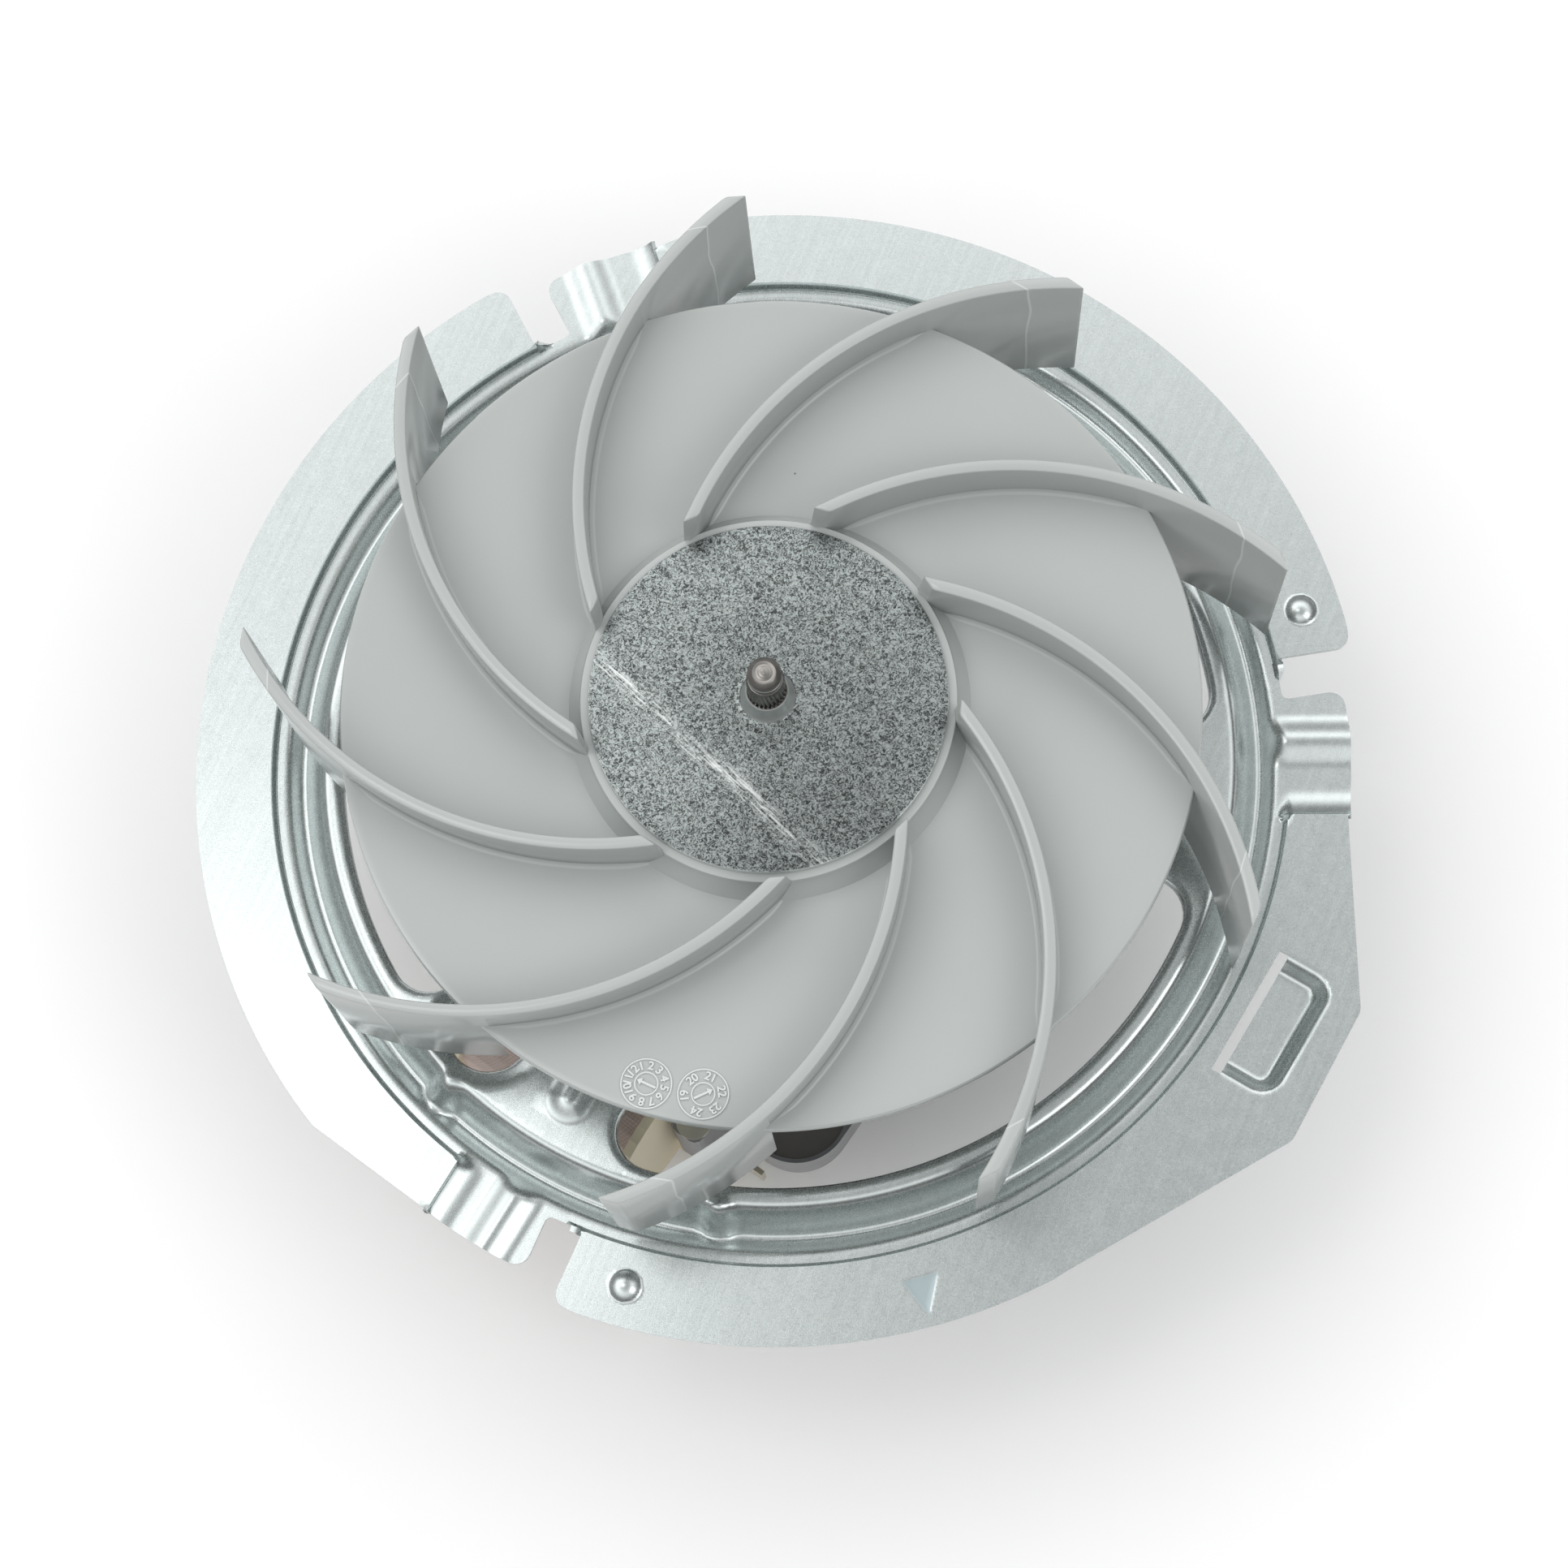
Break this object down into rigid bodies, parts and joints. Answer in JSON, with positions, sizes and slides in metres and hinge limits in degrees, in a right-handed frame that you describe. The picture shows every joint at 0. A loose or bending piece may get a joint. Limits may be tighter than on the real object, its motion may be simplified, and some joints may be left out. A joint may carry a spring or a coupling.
{
  "type": "cooling fan",
  "caption": "Radial cooling fan: a curved-blade wheel on a shaded-pole motor, hung under a round pressed steel plate with locking tabs and air windows.",
  "frame": {"origin": "on the shaft's axis, in the plane of the flange's upper face", "axes": "+Z along the shaft, from the motor to its free end; +X through the notch on the right of the picture"},
  "size_m": [0.1761, 0.1762, 0.0908],
  "materials": {
    "plate_steel": "galvanised sheet, fine grey spangle with light scuffs",
    "disc_steel": "galvanised sheet with broad spangle and slanting scratches",
    "shaft_steel": "ground bar steel, turned end and rolled knurl",
    "wheel_plastic": "light grey glass-filled nylon, satin, moulded",
    "lamination": "punched electrical sheet with visible layers",
    "bobbin_plastic": "ivory nylon",
    "copper_wire": "enamelled copper wire, wound in layers",
    "tape": "woven insulating tape, pale pink",
    "copper_bar": "bare copper, drawn",
    "bracket_steel": "zinc-plated pressed sheet",
    "sintered_bronze": "oil-filled sintered bronze, fine pores",
    "spring_steel": "blued spring strip",
    "felt": "oiled wool felt",
    "fastener_steel": "zinc-plated, slightly yellow",
    "cast_aluminium": "die-cast, dull",
    "spacer_brass": "turned brass",
    "fibre": "laminated fibre",
    "switch_plastic": "black phenolic",
    "clip_steel": "thin steel strip, smooth edges",
    "tinned_brass": "tinned brass strip"
  },
  "bodies": {
    "stator": {"mounting_plate": "plate_steel", "field_core": "lamination", "coil_core": "lamination", "coil_bobbin": "bobbin_plastic", "coil_winding": "copper_wire", "coil_tape": "tape", "terminal_tabs": "tinned_brass", "shading_rings": "copper_bar", "upper_bracket": "bracket_steel", "lower_bracket": "bracket_steel", "upper_bearing": "sintered_bronze", "lower_bearing": "sintered_bronze", "bearing_clips": "spring_steel", "oil_felts": "felt", "motor_screws": "fastener_steel", "screw_nuts": "fastener_steel", "spacer_sleeves": "bracket_steel", "core_rivets": "fastener_steel", "switch_body": "switch_plastic", "switch_clip": "clip_steel", "switch_tabs": "tinned_brass"},
    "rotor": {"impeller": "wheel_plastic", "hub_disc": "disc_steel", "shaft": "shaft_steel", "rotor_core": "lamination", "rotor_cage": "cast_aluminium", "rotor_spacers": "spacer_brass", "thrust_washers": "fibre"}
  },
  "joints": [
    {"name": "fan_spin", "type": "hinge", "parent": "stator", "child": "rotor", "pos_m": [0, 0, 0], "axis": [0, 0, 1], "continuous": true}
  ]
}
